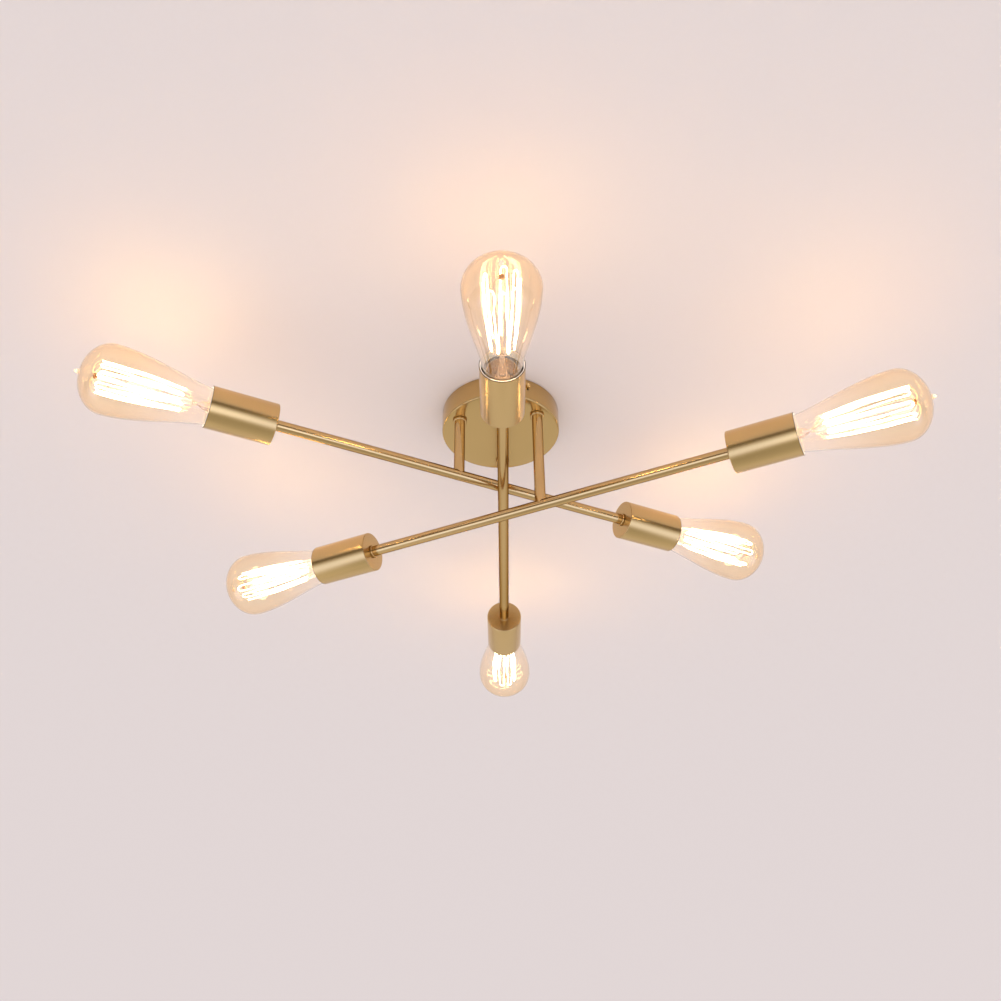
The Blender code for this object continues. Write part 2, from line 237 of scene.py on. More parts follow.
def metal(name, dark, light, rough, grain, bump, smudge=9.0, painted_glow=0.0, edge=None):
    """A worked metal: rough is (low, high), grain is (round, long) marks and bump their depth.

    edge is how much of the reflected light its lacquer leaves where the surface turns away.
    """
    material, nodes, links, shader = new_material(name)
    shader.inputs["Metallic"].default_value = 1.0
    lines = lathe_noise(nodes, links, *grain)
    clouds = room_noise(nodes, links, smudge)
    links.new(ramp(nodes, links, clouds, ((0.3, dark), (0.7, light))), shader.inputs["Base Color"])
    if edge:
        shader.inputs["Specular Tint"].default_value = (*edge, 1.0)
    links.new(span(nodes, links, lines, *rough), shader.inputs["Roughness"])
    add_bump(nodes, links, shader, lines, bump, 0.05 * MM)
    # A painted glow: emission that stands in for light falling on the part.
    if painted_glow:
        shader.inputs["Emission Color"].default_value = (1.0, 0.90, 0.78, 1.0)
        shader.inputs["Emission Strength"].default_value = painted_glow
    return material


def plastic(name, dark, light, rough, speckle=400.0, bump=0.15):
    material, nodes, links, shader = new_material(name)
    grain = room_noise(nodes, links, speckle, 4.0)
    links.new(ramp(nodes, links, grain, ((0.3, dark), (0.7, light))), shader.inputs["Base Color"])
    links.new(span(nodes, links, grain, *rough), shader.inputs["Roughness"])
    add_bump(nodes, links, shader, grain, bump, 0.05 * MM)
    return material


def along_glass(nodes, links):
    """0 along the bulb's neck, rising to 1 short of its widest place, on both sides of the glass."""
    outline = glass_outline()
    neck = sum(math.dist(a, b) for a, b in zip(outline, outline[1:])) / 2
    place = add_node(nodes, "ShaderNodeAttribute", attribute_name="lathe")
    split = nodes.new("ShaderNodeSeparateXYZ")
    links.new(place.outputs["Vector"], split.inputs["Vector"])
    offset = add_node(nodes, "ShaderNodeMath", operation="SUBTRACT")
    offset.inputs[1].default_value = neck
    links.new(split.outputs["Z"], offset.inputs[0])
    distance = add_node(nodes, "ShaderNodeMath", operation="ABSOLUTE")
    links.new(offset.outputs["Value"], distance.inputs[0])
    share = add_node(nodes, "ShaderNodeMapRange", From_Min=CLEAR_TO, From_Max=AMBER_FROM)
    links.new(distance.outputs["Value"], share.inputs["Value"])
    return share.outputs["Result"]


def glass(name, centre, edge, roughness=0.0, painted_glow=0.0, wrinkle=0.0, neck=None):
    """Tinted glass, deeper in colour along its wall, with a faint painted glow, whose shadow lets light
    through.
    """
    material, nodes, links, shader = new_material(name)
    shader.inputs["Roughness"].default_value = roughness
    shader.inputs["IOR"].default_value = 1.47
    shader.inputs["Transmission Weight"].default_value = 1.0
    facing = add_node(nodes, "ShaderNodeLayerWeight", Blend=0.35)
    tint = ramp(nodes, links, facing.outputs["Facing"], ((0.15, centre), (0.9, edge)))
    if neck:
        tint = blend(nodes, links, along_glass(nodes, links), neck, tint)
    links.new(tint, shader.inputs["Base Color"])
    # A painted glow: the glass gives off a warm tone that stands in for the bulb's light scattered in it.
    shader.inputs["Emission Color"].default_value = (1.0, 0.57, 0.28, 1.0)
    shader.inputs["Emission Strength"].default_value = painted_glow
    if wrinkle:
        add_bump(nodes, links, shader, room_noise(nodes, links, 260.0, 3.0), wrinkle, 0.6 * MM)
    ways = nodes.new("ShaderNodeLightPath")
    clear = nodes.new("ShaderNodeBsdfTransparent")
    clear.inputs["Color"].default_value = (*centre, 1.0)
    mix_shaders(nodes, links, ways.outputs["Is Shadow Ray"], shader, clear, "Material Output")
    return material


def glowing(name, strength):
    """A coiled hot strand."""
    material, nodes, links, shader = new_material(name)
    turns = lathe_noise(nodes, links, 2.0, 2500.0, 1.0)
    hot = ramp(nodes, links, turns, ((0.35, (1.0, 0.72, 0.36)), (0.65, (1.0, 0.82, 0.52))))
    links.new(hot, shader.inputs["Emission Color"])
    shader.inputs["Base Color"].default_value = (0.5, 0.42, 0.34, 1.0)
    shader.inputs["Emission Strength"].default_value = strength
    material.cycles.emission_sampling = "NONE"
    return material


# Dark tone, light tone, roughness from low to high, marks (round, long), bump, smudge, painted glow, edge.
METALS = {
    "canopy_brass": ((0.55, 0.37, 0.150), (0.58, 0.39, 0.162), (0.13, 0.17), (1.5, 900.0), 0.01),
    "brushed_brass": ((0.61, 0.420, 0.185), (0.64, 0.440, 0.195), (0.22, 0.27), (60.0, 25.0), 0.045),
    "polished_brass": (
        (0.62, 0.425, 0.195), (0.66, 0.455, 0.215), (0.14, 0.18), (12.0, 60.0), 0.02, 9.0, 0.0,
        (0.22, 0.11, 0.06),
    ),
    "screw_brass": ((0.86, 0.58, 0.22), (0.94, 0.66, 0.28), (0.22, 0.28), (12.0, 60.0), 0.02),
    # Light silvery with a glow of 0.45: a painted glow that stands in for the bulb's light on the cup's rim
    # and lining.
    "liner": ((0.80, 0.74, 0.68), (0.86, 0.80, 0.74), (0.20, 0.26), (20.0, 90.0), 0.02, 9.0, 0.45),
    # Near black: painted shade, the dark line at each cup's outer rim edge.
    "lacquer_edge": ((0.05, 0.028, 0.015), (0.08, 0.045, 0.02), (0.35, 0.45), (20.0, 90.0), 0.02),
    "zinc_steel": ((0.50, 0.50, 0.48), (0.62, 0.62, 0.60), (0.28, 0.42), (8.0, 500.0), 0.15, 120.0),
    "green_steel": ((0.05, 0.30, 0.10), (0.08, 0.40, 0.15), (0.30, 0.42), (8.0, 500.0), 0.15, 300.0),
    "cap_brass": ((0.66, 0.50, 0.26), (0.76, 0.60, 0.34), (0.18, 0.30), (6.0, 1500.0), 0.12, 60.0),
    "solder": ((0.50, 0.48, 0.44), (0.68, 0.66, 0.62), (0.25, 0.40), (20.0, 300.0), 0.2, 400.0),
    # Glows at 0.3: a painted glow for the filament's light on the support wires.
    "support_wire": ((0.70, 0.45, 0.22), (0.80, 0.55, 0.30), (0.30, 0.40), (6.0, 900.0), 0.1, 200.0, 0.3),
}
# Dark tone, light tone, roughness from low to high, speckle, bump.
PLASTICS = {
    "phenolic": ((0.022, 0.018, 0.015), (0.040, 0.034, 0.028), (0.35, 0.50)),
    "wire_black": ((0.015, 0.015, 0.015), (0.03, 0.03, 0.03), (0.40, 0.55)),
    "wire_white": ((0.66, 0.64, 0.60), (0.76, 0.74, 0.70), (0.40, 0.55)),
    "connector_nylon": ((0.55, 0.10, 0.05), (0.70, 0.16, 0.08), (0.40, 0.50)),
    "base_glass": ((0.02, 0.018, 0.03), (0.05, 0.045, 0.06), (0.08, 0.14), 60.0, 0.02),
    "button_glass": ((0.50, 0.20, 0.04), (0.62, 0.27, 0.07), (0.12, 0.2), 60.0, 0.02),
}
# Tone through the wall, tone along it, roughness, painted glow, wrinkle, tone at the neck.
GLASSES = {
    "amber_glass": ((0.97, 0.90, 0.775), (0.89, 0.68, 0.46), 0.0, 0.025, 0.0, (0.985, 0.955, 0.92)),
    "tip_glass": ((0.97, 0.90, 0.775), (0.89, 0.68, 0.46), 0.0, 0.12),
    "mount_glass": ((0.95, 0.87, 0.83), (0.75, 0.58, 0.50), 0.05, 0.10, 0.5),
}
FILAMENT_STRENGTH = 24.0


def make_materials():
    finishes = {"filament": glowing("filament", FILAMENT_STRENGTH)}
    for make, looks in ((metal, METALS), (plastic, PLASTICS), (glass, GLASSES)):
        for name, look in looks.items():
            finishes[name] = make(name, *look)
    return finishes


# ------------------------------------------------------------ mesh building


def rounded(corners, closed=False):
    """An outline whose corners are (radius, height) or, to round one off, (radius, height, fillet)."""
    points = []
    count = len(corners)
    for k, corner in enumerate(corners):
        here = Vector(corner[:2])
        fillet = corner[2] if len(corner) > 2 else 0
        if fillet == 0:
            points.append(here)
            continue
        before = (Vector(corners[k - 1][:2]) - here).normalized()
        after = (Vector(corners[(k + 1) % count][:2]) - here).normalized()
        half = before.angle(after) / 2
        reach = fillet / math.tan(half)
        centre = here + (before + after).normalized() * (fillet / math.sin(half))
        spoke = here + before * reach - centre
        last = here + after * reach - centre
        sweep = math.atan2(spoke.x * last.y - spoke.y * last.x, spoke.dot(last))
        for j in range(FILLET_STEPS + 1):
            points.append(centre + Matrix.Rotation(sweep * j / FILLET_STEPS, 2) @ spoke)
    return [tuple(p) for p in points]


def stand(origin, direction=UP):
    """A place whose Z runs along direction; X is up on a level one, and world X on an upright one."""
    z = Vector(direction).normalized()
    x = Vector((1, 0, 0)) if abs(z.z) > 0.9 else UP
    x = (x - z * x.dot(z)).normalized()
    turn = Matrix((x, z.cross(x), z)).transposed().to_4x4()
    return Matrix.Translation(origin) @ turn


def put(name, data):
    obj = bpy.data.objects.new(name, data)
    bpy.context.scene.collection.objects.link(obj)
    return obj


def new_piece(name, mesh, material):
    obj = put(name, mesh)
    if material:
        mesh.materials.append(material)
    return obj


def smooth(mesh):
    """Smooths all but the sharp edges."""
    mesh.shade_smooth()
    mesh.set_sharp_from_angle(angle=SHARP_ANGLE)
    return mesh


def finish_mesh(mesh):
    """Turns every face outwards and smooths the mesh."""
    bm = bmesh.new()
    bm.from_mesh(mesh)
    bmesh.ops.recalc_face_normals(bm, faces=bm.faces)
    bm.to_mesh(mesh)
    bm.free()
    return smooth(mesh)


def grid_mesh(name, rings, lathe, closed):
    """Skins rings of equal length, or single points; lathe holds the grain's coordinates."""
    verts = []
    marks = []
    starts = []
    for ring, mark in zip(rings, lathe):
        starts.append(len(verts))
        verts.extend(ring)
        marks.extend(mark)
    faces = []
    pairs = list(zip(range(len(rings)), range(1, len(rings))))
    if closed:
        pairs.append((len(rings) - 1, 0))
    for a, b in pairs:
        n = max(len(rings[a]), len(rings[b]))
        for k in range(n):
            m = (k + 1) % n
            if len(rings[a]) == 1:
                faces.append((starts[a], starts[b] + k, starts[b] + m))
            elif len(rings[b]) == 1:
                faces.append((starts[a] + k, starts[b], starts[a] + m))
            else:
                faces.append((starts[a] + k, starts[b] + k, starts[b] + m, starts[a] + m))
    mesh = bpy.data.meshes.new(name)
    mesh.from_pydata(verts, [], faces)
    attribute = mesh.attributes.new("lathe", "FLOAT_VECTOR", "POINT")
    attribute.data.foreach_set("vector", [c for mark in marks for c in mark])
    return finish_mesh(mesh)


def turned_mesh(name, outline, place, sides, closed=False, ripple=None, shape=None):
    """Spins an outline about the Z of place; ripple(z, angle) adds to a radius, shape moves a point."""
    rings = []
    lathe = []
    length = 0.0
    last = outline[0]
    for r, z in outline:
        length += math.hypot(r - last[0], z - last[1])
        last = (r, z)
        if r < 1e-9:
            rings.append([place @ Vector((0, 0, z))])
            lathe.append([(0, 0, length)])
            continue
        ring = []
        mark = []
        for k in range(sides):
            angle = math.tau * k / sides
            radius = r + (ripple(z, angle) if ripple else 0)
            point = Vector((radius * math.cos(angle), radius * math.sin(angle), z))
            ring.append(place @ (shape(point) if shape else point))
            mark.append((math.cos(angle), math.sin(angle), length))
        rings.append(ring)
        lathe.append(mark)
    return grid_mesh(name, rings, lathe, closed)


def turned(name, outline, place, sides, material, **extra):
    return new_piece(name, turned_mesh(name, outline, place, sides, **extra), material)


def washer(name, inner, outer, low, high, fillets, place, sides, material):
    """A plain ring; fillets round off its outer edge below and above."""
    section = ((inner, low), (outer, low, fillets[0]), (outer, high, fillets[1]), (inner, high))
    return turned(name, rounded(section, closed=True), place, sides, material, closed=True)


def bore(name, radius, depth, place, sides=SIDES_SMALL):
    """A round cutter that reaches depth to both sides of its place."""
    return turned_mesh(name, [(0, -depth), (radius, -depth), (radius, depth), (0, depth)], place, sides)


def smooth_route(points, steps):
    """A Catmull-Rom curve through points, with steps spans between each two."""
    route = []
    ends = [2 * points[0] - points[1]] + list(points) + [2 * points[-1] - points[-2]]
    for a, b, c, d in zip(ends, ends[1:], ends[2:], ends[3:]):
        for k in range(steps):
            t = k / steps
            cubic = (3 * b - 3 * c + d - a) * t**3
            route.append(0.5 * (2 * b + (c - a) * t + (2 * a - 5 * b + 4 * c - d) * t**2 + cubic))
    route.append(points[-1])
    return route


def wire_mesh(name, route, radius, sides):
    """A round wire along a route, with domed ends."""
    across = (route[1] - route[0]).orthogonal().normalized()
    rings = []
    lathe = []
    length = 0.0
    count = len(route)
    for k, here in enumerate(route):
        ahead = (route[min(k + 1, count - 1)] - route[max(k - 1, 0)]).normalized()
        across = (across - ahead * across.dot(ahead)).normalized()
        aside = ahead.cross(across)
        if k:
            length += (here - route[k - 1]).length
        tip = ahead * radius * 0.6
        if k == 0:
            rings.append([here - tip])
            lathe.append([(0, 0, length)])
        ring = []
        mark = []
        for j in range(sides):
            c = math.cos(math.tau * j / sides)
            s = math.sin(math.tau * j / sides)
            ring.append(here + (across * c + aside * s) * radius)
            mark.append((c, s, length))
        rings.append(ring)
        lathe.append(mark)
        if k == count - 1:
            rings.append([here + tip])
            lathe.append([(0, 0, length)])
    return grid_mesh(name, rings, lathe, closed=False)


def baked(name, bm):
    """The finished mesh of an editing one, which is freed."""
    mesh = bpy.data.meshes.new(name)
    bm.to_mesh(mesh)
    bm.free()
    return mesh


def joined(name, meshes, material):
    """One piece from several meshes that lie apart or through each other."""
    bm = bmesh.new()
    for mesh in meshes:
        bm.from_mesh(mesh)
        bpy.data.meshes.remove(mesh)
    return new_piece(name, smooth(baked(name, bm)), material)


def carve(obj, tools):
    """Cuts closed meshes out of a piece and smooths it again."""
    for mesh in tools:
        tool = new_piece("tool", mesh, None)
        modifier = obj.modifiers.new("carve", "BOOLEAN")
        modifier.operation = "DIFFERENCE"
        modifier.object = tool
        graph = bpy.context.evaluated_depsgraph_get()
        result = bpy.data.meshes.new_from_object(obj.evaluated_get(graph))
        obj.modifiers.clear()
        old = obj.data
        obj.data = result
        result.name = old.name
        bpy.data.meshes.remove(old)
        bpy.data.objects.remove(tool)
        bpy.data.meshes.remove(mesh)
    smooth(obj.data)


def block_mesh(name, size, centre, place):
    bm = bmesh.new()
    bmesh.ops.create_cube(bm, size=1.0)
    bmesh.ops.scale(bm, vec=size, verts=bm.verts)
    bmesh.ops.translate(bm, vec=centre, verts=bm.verts)
    bmesh.ops.transform(bm, matrix=place, verts=bm.verts)
    return baked(name, bm)


def settle(obj, body, slot, *nodes):
    """Rides a piece on its body, and hides the CAD nodes that it stands for; slot is not used."""
    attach(obj, body)
    if nodes:
        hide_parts(*nodes)


# ------------------------------------------------- canopy, bracket, wiring


def stem_places():
    """Name, foot of the stem on the arm's axis, for each arm."""
    return {
        joint["child"][len("arm_"):]: Vector(joint["pos_m"])
        for joint in frame["joints"]
        if joint["name"].startswith("swivel_")
    }


def canopy_sizes():
    low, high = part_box("canopy")
    return high.x, low.z, high.z


def cad_points(node, place):
    """The points of a CAD node, as place sees them."""
    back = place.inverted()
    return [back @ v.co for v in frame["nodes"][node].data.vertices]


def shank(under, length):
    """The outline of a screw's shank, up to the underside of its head."""
    return [(0, under - length), (SCREW_SHANK_R, under - length, 0.4 * MM), (SCREW_SHANK_R, under)]


def side_hole(bracket, x):
    """A cutter for the small hole below a side screw."""
    place = bracket @ stand((x, 0, -SCREW_DROP - SIDE_HOLE_DROP), (1, 0, 0))
    return bore("side_hole", SIDE_HOLE_R, 4 * MM, place)


def build_canopy(finishes, bracket):
    radius, floor, top = canopy_sizes()
    inside = radius - CANOPY_WALL
    outline = rounded(
        (
            (0, floor),
            (radius, floor, CANOPY_EDGE),
            (radius, top, 0.2 * MM),
            (inside, top, 0.2 * MM),
            (inside, floor + CANOPY_WALL, 0.6 * MM),
            (0, floor + CANOPY_WALL),
        )
    )
    dense = []
    for (r0, z0), (r1, z1) in zip(outline, outline[1:]):
        dense.append((r0, z0))
        if abs(r1 - r0) > 20 * MM:
            dense.extend((r0 + (r1 - r0) * k / 6, z0) for k in range(1, 6))
    dense.append(outline[-1])
    canopy = turned("canopy_shell", dense, Matrix.Identity(4), SIDES_LARGE, finishes["canopy_brass"])
    tools = []
    for name, foot in stem_places().items():
        place = stand((foot.x, foot.y, floor))
        tools.append(bore("stem_hole", THREAD_R + 0.4 * MM, 3 * MM, place, SIDES_TUBE))
    for side in (-1, 1):
        place = bracket @ stand((side * radius, 0, -SCREW_DROP), (side, 0, 0))
        tools.append(bore("screw_hole", SCREW_SHANK_R + 0.3 * MM, 3 * MM, place))
        tools.append(side_hole(bracket, side * radius))
    carve(canopy, tools)
    settle(canopy, "base", "brushed_brass", "canopy")


def build_screws(finishes, bracket):
    """The two side screws, with dished heads, and the earth screw."""
    radius, _, _ = canopy_sizes()
    for name, side in (("canopy_screw_front", 1), ("canopy_screw_back", -1)):
        place = bracket @ stand((0, 0, -SCREW_DROP), (side, 0, 0))
        points = cad_points(name, place)
        reach = max(p.z for p in points)
        head_r = max(p.xy.length for p in points)
        under = radius + 0.15 * MM
        head = [
            (head_r, under, 0.2 * MM),
            (head_r, reach, 0.5 * MM),
            (0.60 * head_r, reach, 0.3 * MM),
            (0.35 * head_r, reach - 0.8 * MM, 0.3 * MM),
            (0, reach - 0.9 * MM),
        ]
        outline = rounded(shank(under, 9 * MM) + head)
        screw = turned(name + "_knob", outline, place, SIDES_SMALL, finishes["screw_brass"])
        settle(screw, "base", "polished_brass", name)
    place = bracket @ stand((GROUND_SCREW_X, 0, 0), -UP)
    under = BRACKET_THICK + 0.1 * MM
    top = under + EARTH_HEAD
    head = [(EARTH_HEAD_R, under, 0.2 * MM), (EARTH_HEAD_R, top, 0.8 * MM), (0, top)]
    outline = rounded(shank(under, BRACKET_THICK) + head)
    screw = turned("earth_screw", outline, place, SIDES_SMALL, finishes["green_steel"])
    tools = []
    for turn in (0, 90):
        cross = place @ Matrix.Rotation(math.radians(turn + 20), 4, "Z")
        size = (0.8 * MM, 4.2 * MM, 2.2 * MM)
        tools.append(block_mesh("cross", size, (0, 0, top), cross))
    carve(screw, tools)
    settle(screw, "base", "green_steel", "ground_screw")


def build_bracket(finishes, bracket):
    """The pressed strap: a bent strip with rounded bends, two slots and its screw holes."""
    points = cad_points("mounting_bracket", bracket)
    reach = max(p.x for p in points)
    ear = min(p.z for p in points)
    half = BRACKET_WIDTH / 2
    bend = 3.0 * MM
    corners = rounded(
        (
            (-reach, ear),
            (-reach, 0, bend),
            (reach, 0, bend),
            (reach, ear),
            (reach - BRACKET_THICK, ear),
            (reach - BRACKET_THICK, -BRACKET_THICK, bend - BRACKET_THICK),
            (BRACKET_THICK - reach, -BRACKET_THICK, bend - BRACKET_THICK),
            (BRACKET_THICK - reach, ear),
        )
    )
    bm = bmesh.new()
    face = bm.faces.new([bm.verts.new((x, -half, z)) for x, z in corners])
    side = bmesh.ops.extrude_face_region(bm, geom=[face])["geom"]
    moved = [v for v in side if isinstance(v, bmesh.types.BMVert)]
    bmesh.ops.translate(bm, vec=(0, 2 * half, 0), verts=moved)
    bmesh.ops.recalc_face_normals(bm, faces=bm.faces)
    bmesh.ops.transform(bm, matrix=bracket, verts=bm.verts)
    strap = new_piece("bracket_strap", baked("bracket_strap", bm), finishes["zinc_steel"])
    tools = []
    deep = 4 * BRACKET_THICK
    for end in (-1, 1):
        straight = SLOT_LENGTH - SLOT_WIDTH
        tools.append(block_mesh("slot", (straight, SLOT_WIDTH, deep), (end * SLOT_CENTRE, 0, 0), bracket))
        for tip in (-1, 1):
            place = bracket @ stand((end * SLOT_CENTRE + tip * straight / 2, 0, 0))
            tools.append(bore("slot_end", SLOT_WIDTH / 2, deep, place))
        place = bracket @ stand((end * reach, 0, -SCREW_DROP), (1, 0, 0))
        tools.append(bore("ear_hole", SCREW_SHANK_R + 0.1 * MM, deep, place))
        tools.append(side_hole(bracket, end * reach))
    carve(strap, tools)
    settle(strap, "base", "zinc_steel", "mounting_bracket")


def build_leads(finishes):
    """Two leads from each stem, gathered under the two twist-on connectors."""
    low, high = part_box("wire_connector_live")
    level = (low.z + high.z) / 2
    black = []
    white = []
    radius = 0.95 * MM
    for k, foot in enumerate(stem_places().values()):
        out = Vector((foot.x, foot.y, 0)).normalized()
        aside = out.cross(UP)
        for side, batch in ((-1, black), (1, white)):
            mouth = Vector((-side * 7.0 * MM, 0, level))
            spread = Vector((0, (k - 1) * 1.1 * MM, 0))
            start = Vector((foot.x, foot.y, -STEM_TOP)) + aside * side * radius
            points = [
                start + UP * -1.5 * MM,
                start + UP * 2.0 * MM,
                start + UP * 5.2 * MM - out * 4 * MM + aside * side * 1.2 * MM,
                out * 26 * MM + UP * -8.3 * MM + aside * side * 2.2 * MM,
                out * 10 * MM + UP * -10.5 * MM + aside * side * 1.5 * MM,
                mouth * 0.45 + Vector((0, 0, level * 0.55)) + spread * 1.6 + UP * 2.5 * MM,
                mouth + spread,
                mouth + spread * 0.6 + Vector((-side * 6 * MM, 0, 0)),
            ]
            batch.append(wire_mesh("lead", smooth_route(points, 8), radius, 12))
    settle(joined("leads_black", black, finishes["wire_black"]), "base", "wire_jacket", "splice_leads")
    settle(joined("leads_white", white, finishes["wire_white"]), "base", "wire_jacket")
    for name, side in (("wire_connector_live", 1), ("wire_connector_neutral", -1)):
        low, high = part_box(name)
        mouth = low.x if side > 0 else -high.x
        tip = high.x if side > 0 else -low.x
        base_r = (high.z - low.z) / 2
        outline = rounded(
            (
                (0, mouth + 8 * MM),
                (0.55 * base_r, mouth + 8 * MM),
                (0.72 * base_r, mouth + 0.1 * MM, 0.3 * MM),
                (base_r * 0.98, mouth, 0.8 * MM),
                (base_r * 0.94, mouth + 3 * MM, 0.5 * MM),
                (base_r * 0.80, mouth + 4 * MM, 0.5 * MM),
                (base_r * 0.66, tip, 1.2 * MM),
                (0, tip),
            )
        )
        place = stand((0, 0, level), (side, 0, 0))

        def ribs(z, angle, start=mouth + 4.5 * MM):
            if not start < z < tip - 0.6 * MM:
                return 0
            return -0.25 * MM * (0.5 + 0.5 * math.cos(CONNECTOR_RIBS * angle))

        cone = turned(name + "_ribbed", outline, place, 96, finishes["connector_nylon"], ripple=ribs)
        settle(cone, "base", "connector_nylon", name)


# --------------------------------------------------------- stems and arms


def fine_thread(low, high):
    """A ripple for a fine thread between two distances from the middle."""

    def ripple(z, angle):
        if not low < abs(z) < high:
            return 0
        return FINE_DEPTH * (math.cos(math.tau * z / FINE_PITCH - angle) - 1)

    return ripple


def rows(radius, start, stop, step):
    """Points up a straight wall, close enough together for a thread."""
    count = max(1, round(abs(stop - start) / step))
    return [(radius, start + (stop - start) * k / count) for k in range(count + 1)]


def build_stem(name, foot, finishes):
    """The stem, saddled over its arm, with its thread through the canopy, and its collar."""
    body = "arm_" + name
    drop = -foot.z
    _, floor, _ = canopy_sizes()
    shoulder = drop + floor - 0.1 * MM
    top = drop - STEM_TOP
    place = stand(foot) @ Matrix.Rotation(arm_heading(name), 4, "Z")
    saddle = TUBE_R + SEAM
    foot_z = math.sqrt(saddle**2 - TUBE_R**2)
    outline = [(THREAD_BORE_R, foot_z), (TUBE_R, foot_z), (TUBE_R, foot_z + 8 * MM)]
    outline += [(TUBE_R, shoulder - 0.3 * MM), (TUBE_R - 0.3 * MM, shoulder)]
    outline += rows(THREAD_R, shoulder, top, FINE_PITCH / 5)
    outline += [(THREAD_BORE_R, top)]

    def sit(point):
        if point.z > foot_z + 0.01 * MM:
            return point
        return Vector((point.x, point.y, math.sqrt(saddle**2 - min(abs(point.y), TUBE_R) ** 2)))

    ripple = fine_thread(shoulder + 0.3 * MM, top)
    stem = turned(
        "stem_tube_" + name, outline, place, SIDES_TUBE, finishes["polished_brass"],
        closed=True, ripple=ripple, shape=sit,
    )
    settle(stem, body, "polished_brass", "stem_" + name)

    collar = washer(
        "collar_" + name, TUBE_R + 0.1 * MM, COLLAR_R, shoulder - COLLAR_HEIGHT, shoulder - 0.1 * MM,
        (1.0 * MM, 0.8 * MM), place, SIDES_TUBE, finishes["polished_brass"],
    )
    settle(collar, body, "polished_brass", "stem_collar_" + name)


def build_nut(name, foot, finishes):
    """The hexagonal lock nut above the canopy's floor."""
    place = stand(foot) @ Matrix.Rotation(arm_heading(name), 4, "Z")
    low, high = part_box("stem_nut_" + name)
    flats = 14.0 * MM
    nut_low = low.z - foot.z
    nut_high = high.z - foot.z
    corner = flats / math.sqrt(3)
    outline = [
        (THREAD_R + 0.1 * MM, nut_low),
        (corner * 0.90, nut_low),
        (corner, nut_low + 0.6 * MM),
        (corner, nut_high - 0.6 * MM),
        (corner * 0.90, nut_high),
        (THREAD_R + 0.1 * MM, nut_high),
    ]

    def hexagon(point):
        radius = point.xy.length
        angle = math.atan2(point.y, point.x)
        wedge = (angle % (math.tau / 6)) - math.tau / 12
        limit = flats / 2 / math.cos(wedge)
        if radius <= limit:
            return point
        return Vector((point.x * limit / radius, point.y * limit / radius, point.z))

    nut = turned("lock_nut_" + name, outline, place, 72, finishes["zinc_steel"], closed=True, shape=hexagon)
    settle(nut, "arm_" + name, "zinc_steel", "stem_nut_" + name)


def arm_heading(name):
    """The bearing of an arm's named +X end, from the axis of the bulb there."""
    for joint in frame["joints"]:
        if joint["name"].startswith("bulb_" + name) and joint["name"].endswith("_turn"):
            axis = Vector(joint["axis"])
            return math.atan2(axis.y, axis.x)
    return 0.0


def build_arm(name, foot, finishes):
    heading = arm_heading(name)
    place = stand(foot, (math.cos(heading), math.sin(heading), 0))
    tip = max(p.z for p in cad_points("arm_tube_" + name, place))
    shoulder = tip - 12.0 * MM
    wall = rows(TUBE_R, 0.3 * MM - shoulder, shoulder - 0.3 * MM, 30 * MM)
    outline = rows(THREAD_R, -tip, -shoulder, FINE_PITCH / 5)
    outline += [(TUBE_R - 0.3 * MM, -shoulder)] + wall + [(TUBE_R - 0.3 * MM, shoulder)]
    outline += rows(THREAD_R, shoulder, tip, FINE_PITCH / 5)
    outline += [(THREAD_BORE_R, tip), (THREAD_BORE_R, -tip)]

    ripple = fine_thread(shoulder + 0.3 * MM, tip)
    arm = turned(
        "arm_rod_" + name, outline, place, SIDES_TUBE, finishes["polished_brass"],
        closed=True, ripple=ripple,
    )
    settle(arm, "arm_" + name, "polished_brass", "arm_tube_" + name)


# ------------------------------------------------- cups, holders and bulbs


def lamp_thread(low, high, depth):
    """The rolled lamp thread between two heights, faded in and out over half a turn."""

    def ripple(z, angle):
        fade = min((z - low) / (0.5 * LAMP_PITCH), (high - z) / (0.5 * LAMP_PITCH), 1.0)
        if fade <= 0:
            return 0
        return fade * depth * (0.5 * math.cos(math.tau * z / LAMP_PITCH - angle) - 0.5)

    return ripple


